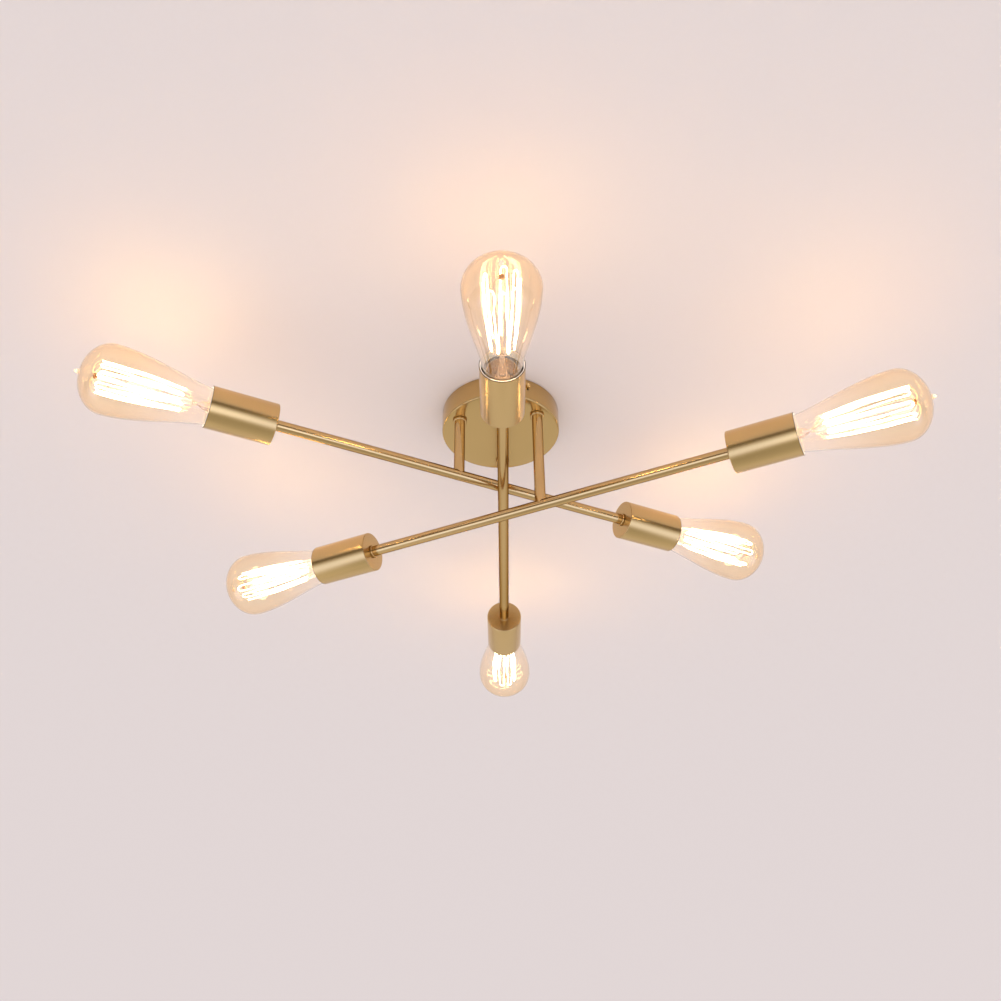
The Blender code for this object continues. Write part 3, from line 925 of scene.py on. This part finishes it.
def build_cup(end, place, body, finishes):
    """The ring, the cup, its rim made bright by a painted glow inside an edge made dark as painted shade,
    and its lining made bright by the same painted glow.
    """
    hole = THREAD_R + 0.2 * MM
    ring_high = -CUP_LENGTH - 0.2 * MM
    ring = washer(
        "ring_" + end, hole, RING_R, ring_high - RING_LENGTH, ring_high, (0.6 * MM, 0.6 * MM),
        place, SIDES_TUBE, finishes["polished_brass"],
    )
    settle(ring, body, "polished_brass", "end_ring_" + end)
    inside = CUP_R - CUP_WALL
    shell = rounded(
        (
            (hole, -CUP_LENGTH),
            (CUP_R, -CUP_LENGTH, 1.0 * MM),
            (CUP_R, -CUP_LIP),
            (inside, -CUP_LIP),
            (inside, -CUP_LENGTH + 1.5 * MM, 0.8 * MM),
            (hole, -CUP_LENGTH + 1.5 * MM),
        ),
        closed=True,
    )
    cup = turned("cup_shell_" + end, shell, place, SIDES_CUP, finishes["brushed_brass"], closed=True)
    settle(cup, body, "brushed_brass", "cup_" + end)
    # Two thin rings at the cup's mouth: the outer edge is near-black painted shade, and the lip inside it
    # carries a painted glow as a highlight.
    for part, low_r, high_r, top, finish in (
        ("cup_edge_", CUP_R - EDGE_WIDTH, CUP_R, -0.1 * MM, "lacquer_edge"),
        ("cup_lip_", inside, CUP_R - EDGE_WIDTH, 0, "liner"),
    ):
        lip = rounded(
            ((low_r, -CUP_LIP), (high_r, -CUP_LIP), (high_r, top, 0.12 * MM), (low_r, top, 0.12 * MM)),
            closed=True,
        )
        rim = turned(part + end, lip, place, SIDES_CUP, finishes[finish], closed=True)
        settle(rim, body, "brushed_brass")

    # The lining also carries the painted glow.
    lining = washer(
        "cup_lining_" + end, inside - 0.15 * MM, inside - 0.02 * MM, -HOLDER_MOUTH, -CUP_LIP, (0, 0),
        place, SIDES_CUP, finishes["liner"],
    )
    settle(lining, body, "brushed_brass")


def build_holder(end, place, body, finishes):
    """The lamp holder with its threaded shell and the contact on its floor."""
    hole = THREAD_R + 0.4 * MM
    mouth = -HOLDER_MOUTH
    low = -CUP_LENGTH + 2.0 * MM
    holder_r = 16.1 * MM
    well_r = 14.1 * MM
    floor = mouth - 24.5 * MM
    outline = rounded(
        (
            (0, -CUP_LENGTH + 10.5 * MM),
            (hole, -CUP_LENGTH + 10.5 * MM),
            (hole, low),
            (holder_r - 2 * MM, low, 1.0 * MM),
            (holder_r, low + 14 * MM, 0.5 * MM),
            (holder_r, mouth, 0.8 * MM),
            (well_r, mouth, 0.6 * MM),
            (well_r, floor, 0.5 * MM),
            (0, floor),
        )
    )
    holder = turned("holder_" + end, outline, place, SIDES_GLASS, finishes["phenolic"])
    settle(holder, body, "phenolic", "lamp_holder_" + end)

    ripple = lamp_thread(mouth - SHELL_DEPTH + 3 * MM, mouth - 0.6 * MM, THREAD_DEPTH)
    outer = rows(13.95 * MM, mouth - SHELL_DEPTH, mouth - 0.4 * MM, LAMP_PITCH / 9)
    wall = outer + [(r - 0.35 * MM, z) for r, z in reversed(outer)]
    shell = turned(
        "screw_shell_" + end, wall, place, SIDES_CUP, finishes["cap_brass"], closed=True, ripple=ripple
    )
    settle(shell, body, "cap_brass")

    contact = [
        Vector((-5.5 * MM, 0, floor + 0.4 * MM)),
        Vector((-3.0 * MM, 0, floor + 0.8 * MM)),
        Vector((0.5 * MM, 0, floor + 2.2 * MM)),
        Vector((3.0 * MM, 0, floor + 2.0 * MM)),
    ]
    route = smooth_route([place @ p for p in contact], 6)
    tongue = wire_mesh("contact_" + end, route, 0.5 * MM, 12)
    settle(new_piece("contact_" + end, tongue, finishes["cap_brass"]), body, "cap_brass")


def pear_radius(at):
    """The glass's radius at a distance beyond the cup's rim, up to its widest place."""
    t = at / GLASS_WIDE_AT
    start = GLASS_RIM_R * (2 * t**3 - 3 * t**2 + 1)
    slope = GLASS_RIM_SLOPE * GLASS_WIDE_AT * (t**3 - 2 * t**2 + t)
    return start + slope + GLASS_WIDE_R * (3 * t**2 - 2 * t**3)


def glass_outline():
    """The glass from its neck to its drawn-out tip and back down inside."""
    neck_low = -CAP_TOP - 12 * MM
    neck_high = -CAP_TOP - 1.0 * MM
    outer = [(NECK_R, neck_low), (NECK_R, neck_high)]
    for k in range(1, 6):
        t = k / 6
        swell = 3 * t**2 - 2 * t**3
        outer.append((NECK_R + (GLASS_RIM_R - NECK_R) * swell, neck_high * (1 - t)))
    outer += [(pear_radius(GLASS_WIDE_AT * k / 20), GLASS_WIDE_AT * k / 20) for k in range(21)]
    dome = GLASS_DOME_END - GLASS_WIDE_AT
    for k in range(1, 16):
        a = math.radians(86 * k / 15)
        outer.append((GLASS_WIDE_R * math.cos(a), GLASS_WIDE_AT + dome * math.sin(a)))
    inner = []
    for k, (r, z) in enumerate(outer):
        before = Vector(outer[max(k - 1, 0)])
        after = Vector(outer[min(k + 1, len(outer) - 1)])
        along = (after - before).normalized()
        inner.append((r - along.y * GLASS_WALL, z + along.x * GLASS_WALL))
    outer.append((0, GLASS_DOME_END))
    inner.append((0, GLASS_DOME_END - GLASS_WALL))
    return list(reversed(outer)) + inner


def build_glass(end, place, body, finishes):
    bulb = turned("glass_" + end, glass_outline(), place, SIDES_GLASS, finishes["amber_glass"])
    settle(bulb, body, "amber_glass", "bulb_glass_" + end)
    taper = ((0, 0.02), (1.25, 0.02), (1.0, 0.6), (0.80, 1.4), (0.55, 2.3), (0.28, 3.2), (0, 3.6))
    tip = [(TIP_R * share, GLASS_DOME_END + z * MM) for share, z in taper]
    settle(turned("tip_" + end, tip, place, SIDES_TUBE, finishes["tip_glass"]), body, "amber_glass")


def build_cap(end, place, body, finishes):
    top = -CAP_TOP
    low = top - CAP_LENGTH
    wall = 0.3 * MM
    thread_low = low + 6.6 * MM
    thread_high = top - 3.2 * MM
    outer = [(9.6 * MM, low + 4.2 * MM), (11.2 * MM, low + 4.7 * MM), (CAP_R - 0.5 * MM, low + 6.0 * MM)]
    outer += rows(CAP_R, low + 6.5 * MM, top - 3.0 * MM, LAMP_PITCH / 9)
    outer += [(CAP_R, top - 1.2 * MM), (CAP_R - 0.1 * MM, top - 0.4 * MM), (CAP_R - 0.3 * MM, top)]
    inner = [(r - wall, z) for r, z in reversed(outer)]
    ripple = lamp_thread(thread_low, thread_high, THREAD_DEPTH)
    cap = turned(
        "screw_cap_" + end, outer + inner, place, SIDES_CUP, finishes["cap_brass"],
        closed=True, ripple=ripple,
    )
    settle(cap, body, "cap_brass", "bulb_cap_" + end)

    insulator = rounded(
        (
            (0, low + 1.0 * MM),
            (5.0 * MM, low + 1.0 * MM, 0.5 * MM),
            (9.8 * MM, low + 4.3 * MM, 0.5 * MM),
            (9.0 * MM, low + 5.2 * MM, 0.3 * MM),
            (0, low + 5.2 * MM),
        )
    )
    insulator = turned("cap_insulator_" + end, insulator, place, SIDES_TUBE, finishes["base_glass"])
    settle(insulator, body, "phenolic")
    contact = rounded(
        (
            (0, low + 0.05 * MM),
            (2.6 * MM, low + 0.1 * MM, 0.8 * MM),
            (4.8 * MM, low + 0.9 * MM, 0.2 * MM),
            (4.8 * MM, low + 1.3 * MM),
            (0, low + 1.3 * MM),
        )
    )
    settle(turned("cap_contact_" + end, contact, place, SIDES_SMALL, finishes["solder"]), body, "cap_brass")


def build_mount(end, place, body, finishes):
    """The flared glass foot with its pinch, the rod and the button that the hooks are set in."""
    low = -CAP_TOP - CAP_LENGTH + 8.6 * MM
    pinch = 1.0 * MM
    flange = ((0, 2.2), (8.6, 0.6), (10.6, 0.2), (10.8, 0.9), (9.4, 2.2))
    flare = ((7.0, 4.4), (5.6, 7.2), (4.9, 10.5), (4.5, 14.0))
    press = ((4.2, 0), (3.6, 3.5), (2.6, 6.0), (1.5, 7.5))
    bead = ((1.3, -2.2), (2.1, -1.2), (2.5, 0), (2.1, 1.2), (1.2, 2.2))
    outline = []
    for base, points in ((low, flange + flare), (pinch, press), (BEAD, bead)):
        outline += [(r * MM, base + z * MM) for r, z in points]
    outline += rows(1.0 * MM, BEAD + 4.0 * MM, BUTTON - 4.0 * MM, 12 * MM)
    outline += [(1.0 * MM, BUTTON - 2.2 * MM), (0, BUTTON - 2.1 * MM)]

    def squeeze(point):
        share = max(0.0, 1.0 - abs(point.z - pinch - 2 * MM) / (9 * MM))
        return Vector((point.x * (1 + 0.25 * share), point.y * (1 - 0.55 * share), point.z))

    foot = turned("glass_foot_" + end, outline, place, SIDES_TUBE, finishes["mount_glass"], shape=squeeze)
    settle(foot, body, "mount_glass", "filament_mount_" + end)
    button = rounded(
        (
            (0, BUTTON - 2.0 * MM),
            (1.4 * MM, BUTTON - 2.0 * MM, 0.3 * MM),
            (2.5 * MM, BUTTON - 0.8 * MM, 0.6 * MM),
            (2.5 * MM, BUTTON + 0.8 * MM, 0.6 * MM),
            (0, BUTTON + 1.6 * MM),
        )
    )
    button = turned("button_" + end, button, place, SIDES_SMALL, finishes["button_glass"])
    settle(button, body, "mount_glass")


def ring_point(radius, angle, height):
    """A point of a bulb's own round coordinates."""
    return Vector((radius * math.cos(angle), radius * math.sin(angle), height))


def build_filament(end, place, body, finishes, seed):
    """The squirrel cage: one strand up and down between the upper and the lower hooks."""
    rand = random.Random(seed)
    start = rand.uniform(0, math.tau)
    step = math.tau / (HOOKS + 0.6)
    stops = []
    runs = []
    for k in range(2 * HOOKS + 1):
        angle = start + step * (k / 2 + rand.uniform(-0.12, 0.12))
        way = 1 if k % 2 else -1
        if way > 0:
            height = CAGE_TOP + rand.uniform(-0.8, 0.8) * MM
            spread = 0.16
            turn = LOOP_DROP
            radius = CAGE_TOP_R
        else:
            height = CAGE_FOOT + rand.uniform(-1.5, 1.5) * MM
            spread = 0.07
            turn = -0.8 * MM
            radius = CAGE_FOOT_R
        stops.append((ring_point(radius, angle, height), angle, way))
        bend = [
            ring_point(radius, angle + spread * side, height - abs(side) * turn) for side in (-1, 0, 1)
        ]
        runs.append(bend)
    points = []
    for here, after in zip(runs, runs[1:]):
        points += here
        a = here[-1]
        b = after[0]
        for t in (0.1, 0.3, 0.5, 0.7, 0.9):
            middle = a.lerp(b, t)
            bow = CAGE_BOW * math.sin(math.pi * t)
            sway = Vector((rand.uniform(-1, 1), rand.uniform(-1, 1), 0)) * 0.45 * MM
            points.append(middle + Vector((middle.x, middle.y, 0)).normalized() * bow + sway)
    points += runs[-1]
    route = smooth_route([place @ p for p in points], 3)
    strand = wire_mesh("filament_" + end, route, STRAND_R, 8)
    strand = new_piece("filament_" + end, strand, finishes["filament"])
    strand.visible_diffuse = False
    settle(strand, body, "filament")

    wires = []
    for point, angle, way in stops:
        if way > 0:
            middle = [
                ring_point(1.0 * MM, angle, BUTTON + 0.5 * MM),
                ring_point(3.4 * MM, angle, BUTTON + 2.0 * MM),
                ring_point(7.0 * MM, angle, BUTTON + 2.8 * MM),
                ring_point(11.5 * MM, angle, BUTTON + 1.2 * MM),
            ]
        else:
            middle = [ring_point(1.2 * MM, angle, BEAD), ring_point(5.0 * MM, angle, BEAD + 4.0 * MM)]
        hook = [
            point + ring_point(0.7 * MM, angle, 0.9 * MM * way),
            point + ring_point(1.1 * MM, angle, -0.2 * MM * way),
            point + ring_point(0.2 * MM, angle, -0.8 * MM * way),
        ]
        route = smooth_route([place @ p for p in middle + hook], 4)
        wires.append(wire_mesh("hook", route, WIRE_R, 8))
    for side in (-1, 1):
        lead = [Vector((0, side * 2.0 * MM, z * MM)) for z in (-14, -4, 4, 9)]
        lead.append(Vector((0, side * 1.2 * MM, BEAD)))
        wires.append(wire_mesh("lead_in", smooth_route([place @ p for p in lead], 3), WIRE_R, 8))
    settle(joined("hooks_" + end, wires, finishes["support_wire"]), body, "cap_brass")


def add_bulb_light(end, place, body):
    data = bpy.data.lights.new("light_" + end, "POINT")
    data.energy = LAMP_POWER
    data.color = LAMP_COLOUR
    data.shadow_soft_size = 11 * MM
    lamp = put("light_" + end, data)
    lamp.location = place @ Vector((0, 0, 60 * MM))
    lamp.visible_camera = False
    lamp.visible_transmission = False
    lamp.visible_glossy = False
    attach(lamp, body)


def build_ends(finishes):
    seed = 11
    for joint in frame["joints"]:
        if not joint["name"].endswith("_turn"):
            continue
        end = joint["child"][len("core_"):]
        arm_body = "arm_" + end.split("_")[0]
        place = stand(joint["pos_m"], joint["axis"])
        build_cup(end, place, arm_body, finishes)
        build_holder(end, place, arm_body, finishes)
        build_glass(end, place, "bulb_" + end, finishes)
        build_cap(end, place, "core_" + end, finishes)
        build_mount(end, place, "core_" + end, finishes)
        build_filament(end, place, "core_" + end, finishes, seed)
        add_bulb_light(end, place, "bulb_" + end)
        seed += 1


def finish_wiring(finishes):
    for name in stem_places():
        wires = frame["nodes"]["wiring_" + name]
        wires.data.materials.clear()
        wires.data.materials.append(finishes["wire_black"])


# ------------------------------------------------------------------- stage


def build_ceiling():
    """The pale ceiling, open over the canopy for a ceiling box. It is seen only from below."""
    sides = 64
    verts = []
    for radius in (CEILING_BOX_R, CEILING_R):
        for k in range(sides):
            angle = math.tau * k / sides
            verts.append((radius * math.cos(angle), radius * math.sin(angle), 0.0002))
    faces = []
    for k in range(sides):
        m = (k + 1) % sides
        faces.append((k, m, sides + m, sides + k))
    mesh = bpy.data.meshes.new("ceiling")
    mesh.from_pydata(verts, [], faces)
    material, nodes, links, shader = new_material("ceiling_paint")
    shader.inputs["Base Color"].default_value = (0.795, 0.735, 0.73, 1.0)
    shader.inputs["Roughness"].default_value = 0.8
    side = nodes.new("ShaderNodeNewGeometry")
    clear = nodes.new("ShaderNodeBsdfTransparent")
    mix_shaders(nodes, links, side.outputs["Backfacing"], shader, clear, "Material Output")
    new_piece("ceiling", mesh, material)


def build_world():
    """A pale room: what the brass reflects changes with the height it looks at."""
    world = bpy.data.worlds.new("room")
    bpy.context.scene.world = world
    world.use_nodes = True
    nodes = world.node_tree.nodes
    links = world.node_tree.links
    place = nodes.new("ShaderNodeTexCoord")
    split = nodes.new("ShaderNodeSeparateXYZ")
    links.new(place.outputs["Generated"], split.inputs["Vector"])
    height = add_node(nodes, "ShaderNodeMapRange", From_Min=-1.0, From_Max=1.0)
    links.new(split.outputs["Z"], height.inputs["Value"])
    behind = add_node(nodes, "ShaderNodeMapRange", From_Min=0.05, From_Max=0.30)
    links.new(split.outputs["Y"], behind.inputs["Value"])
    front_tones = (
        (0.00, (0.55, 0.53, 0.48)),
        (0.02, (0.46, 0.43, 0.36)),
        (0.06, (0.60, 0.58, 0.54)),
        (0.12, (1.30, 1.42, 1.95)),
        (0.20, (1.40, 1.58, 2.25)),
        (0.28, (1.00, 1.05, 1.25)),
        (0.35, (0.42, 0.38, 0.34)),
        (0.42, (0.12, 0.09, 0.05)),
        (0.50, (0.10, 0.07, 0.04)),
        (0.52, (0.80, 0.74, 0.72)),
    )
    back_tones = (
        (0.00, (0.55, 0.53, 0.48)),
        (0.10, (0.70, 0.68, 0.64)),
        (0.22, (0.84, 0.81, 0.79)),
        (0.40, (0.74, 0.70, 0.66)),
        (0.50, (0.66, 0.60, 0.58)),
        (0.52, (0.80, 0.74, 0.72)),
    )
    front = ramp(nodes, links, height.outputs["Result"], front_tones)
    back = ramp(nodes, links, height.outputs["Result"], back_tones)
    tones = blend(nodes, links, behind.outputs["Result"], front, back)
    plain = nodes["Background"]
    plain.inputs["Color"].default_value = (0.95, 0.91, 0.905, 1.0)
    reflected = nodes.new("ShaderNodeBackground")
    links.new(tones, reflected.inputs["Color"])
    ways = nodes.new("ShaderNodeLightPath")
    mix_shaders(nodes, links, ways.outputs["Is Glossy Ray"], plain, reflected, "World Output")


def add_area(name, location, size, energy):
    """A round soft light aimed at the middle of the arms. It shows only as a highlight."""
    data = bpy.data.lights.new(name, "AREA")
    data.shape = "DISK"
    data.size = size
    data.energy = energy
    lamp = put(name, data)
    lamp.location = location
    lamp.rotation_euler = (LIGHT_AIM - Vector(location)).to_track_quat("-Z", "Y").to_euler()
    lamp.visible_diffuse = False


def add_camera():
    data = bpy.data.cameras.new("camera")
    data.sensor_width = 36.0
    data.lens = CAMERA_LENS
    data.clip_start = 0.01
    camera = put("camera", data)
    yaw = Matrix.Rotation(math.radians(CAMERA_YAW), 4, "Z")
    pitch = Matrix.Rotation(math.radians(90 + CAMERA_LOOK_UP), 4, "X")
    roll = Matrix.Rotation(math.radians(CAMERA_ROLL), 4, "Z")
    camera.matrix_world = Matrix.Translation(CAMERA_PLACE) @ yaw @ pitch @ roll
    bpy.context.scene.camera = camera


def main():
    finishes = make_materials()
    bracket = Matrix.Rotation(BRACKET_BEARING, 4, "Z")
    build_canopy(finishes, bracket)
    build_bracket(finishes, bracket)
    build_screws(finishes, bracket)
    build_leads(finishes)
    for name, foot in stem_places().items():
        build_stem(name, foot, finishes)
        build_nut(name, foot, finishes)
        build_arm(name, foot, finishes)
    build_ends(finishes)
    finish_wiring(finishes)
    build_ceiling()
    build_world()
    add_area("key", (0.1, -1.0, -1.0), 0.9, 0.7)
    add_area("fill", (-1.2, 0.6, -1.6), 1.6, 0.8)
    add_camera()
    bpy.context.scene.view_settings.view_transform = "Standard"


main()
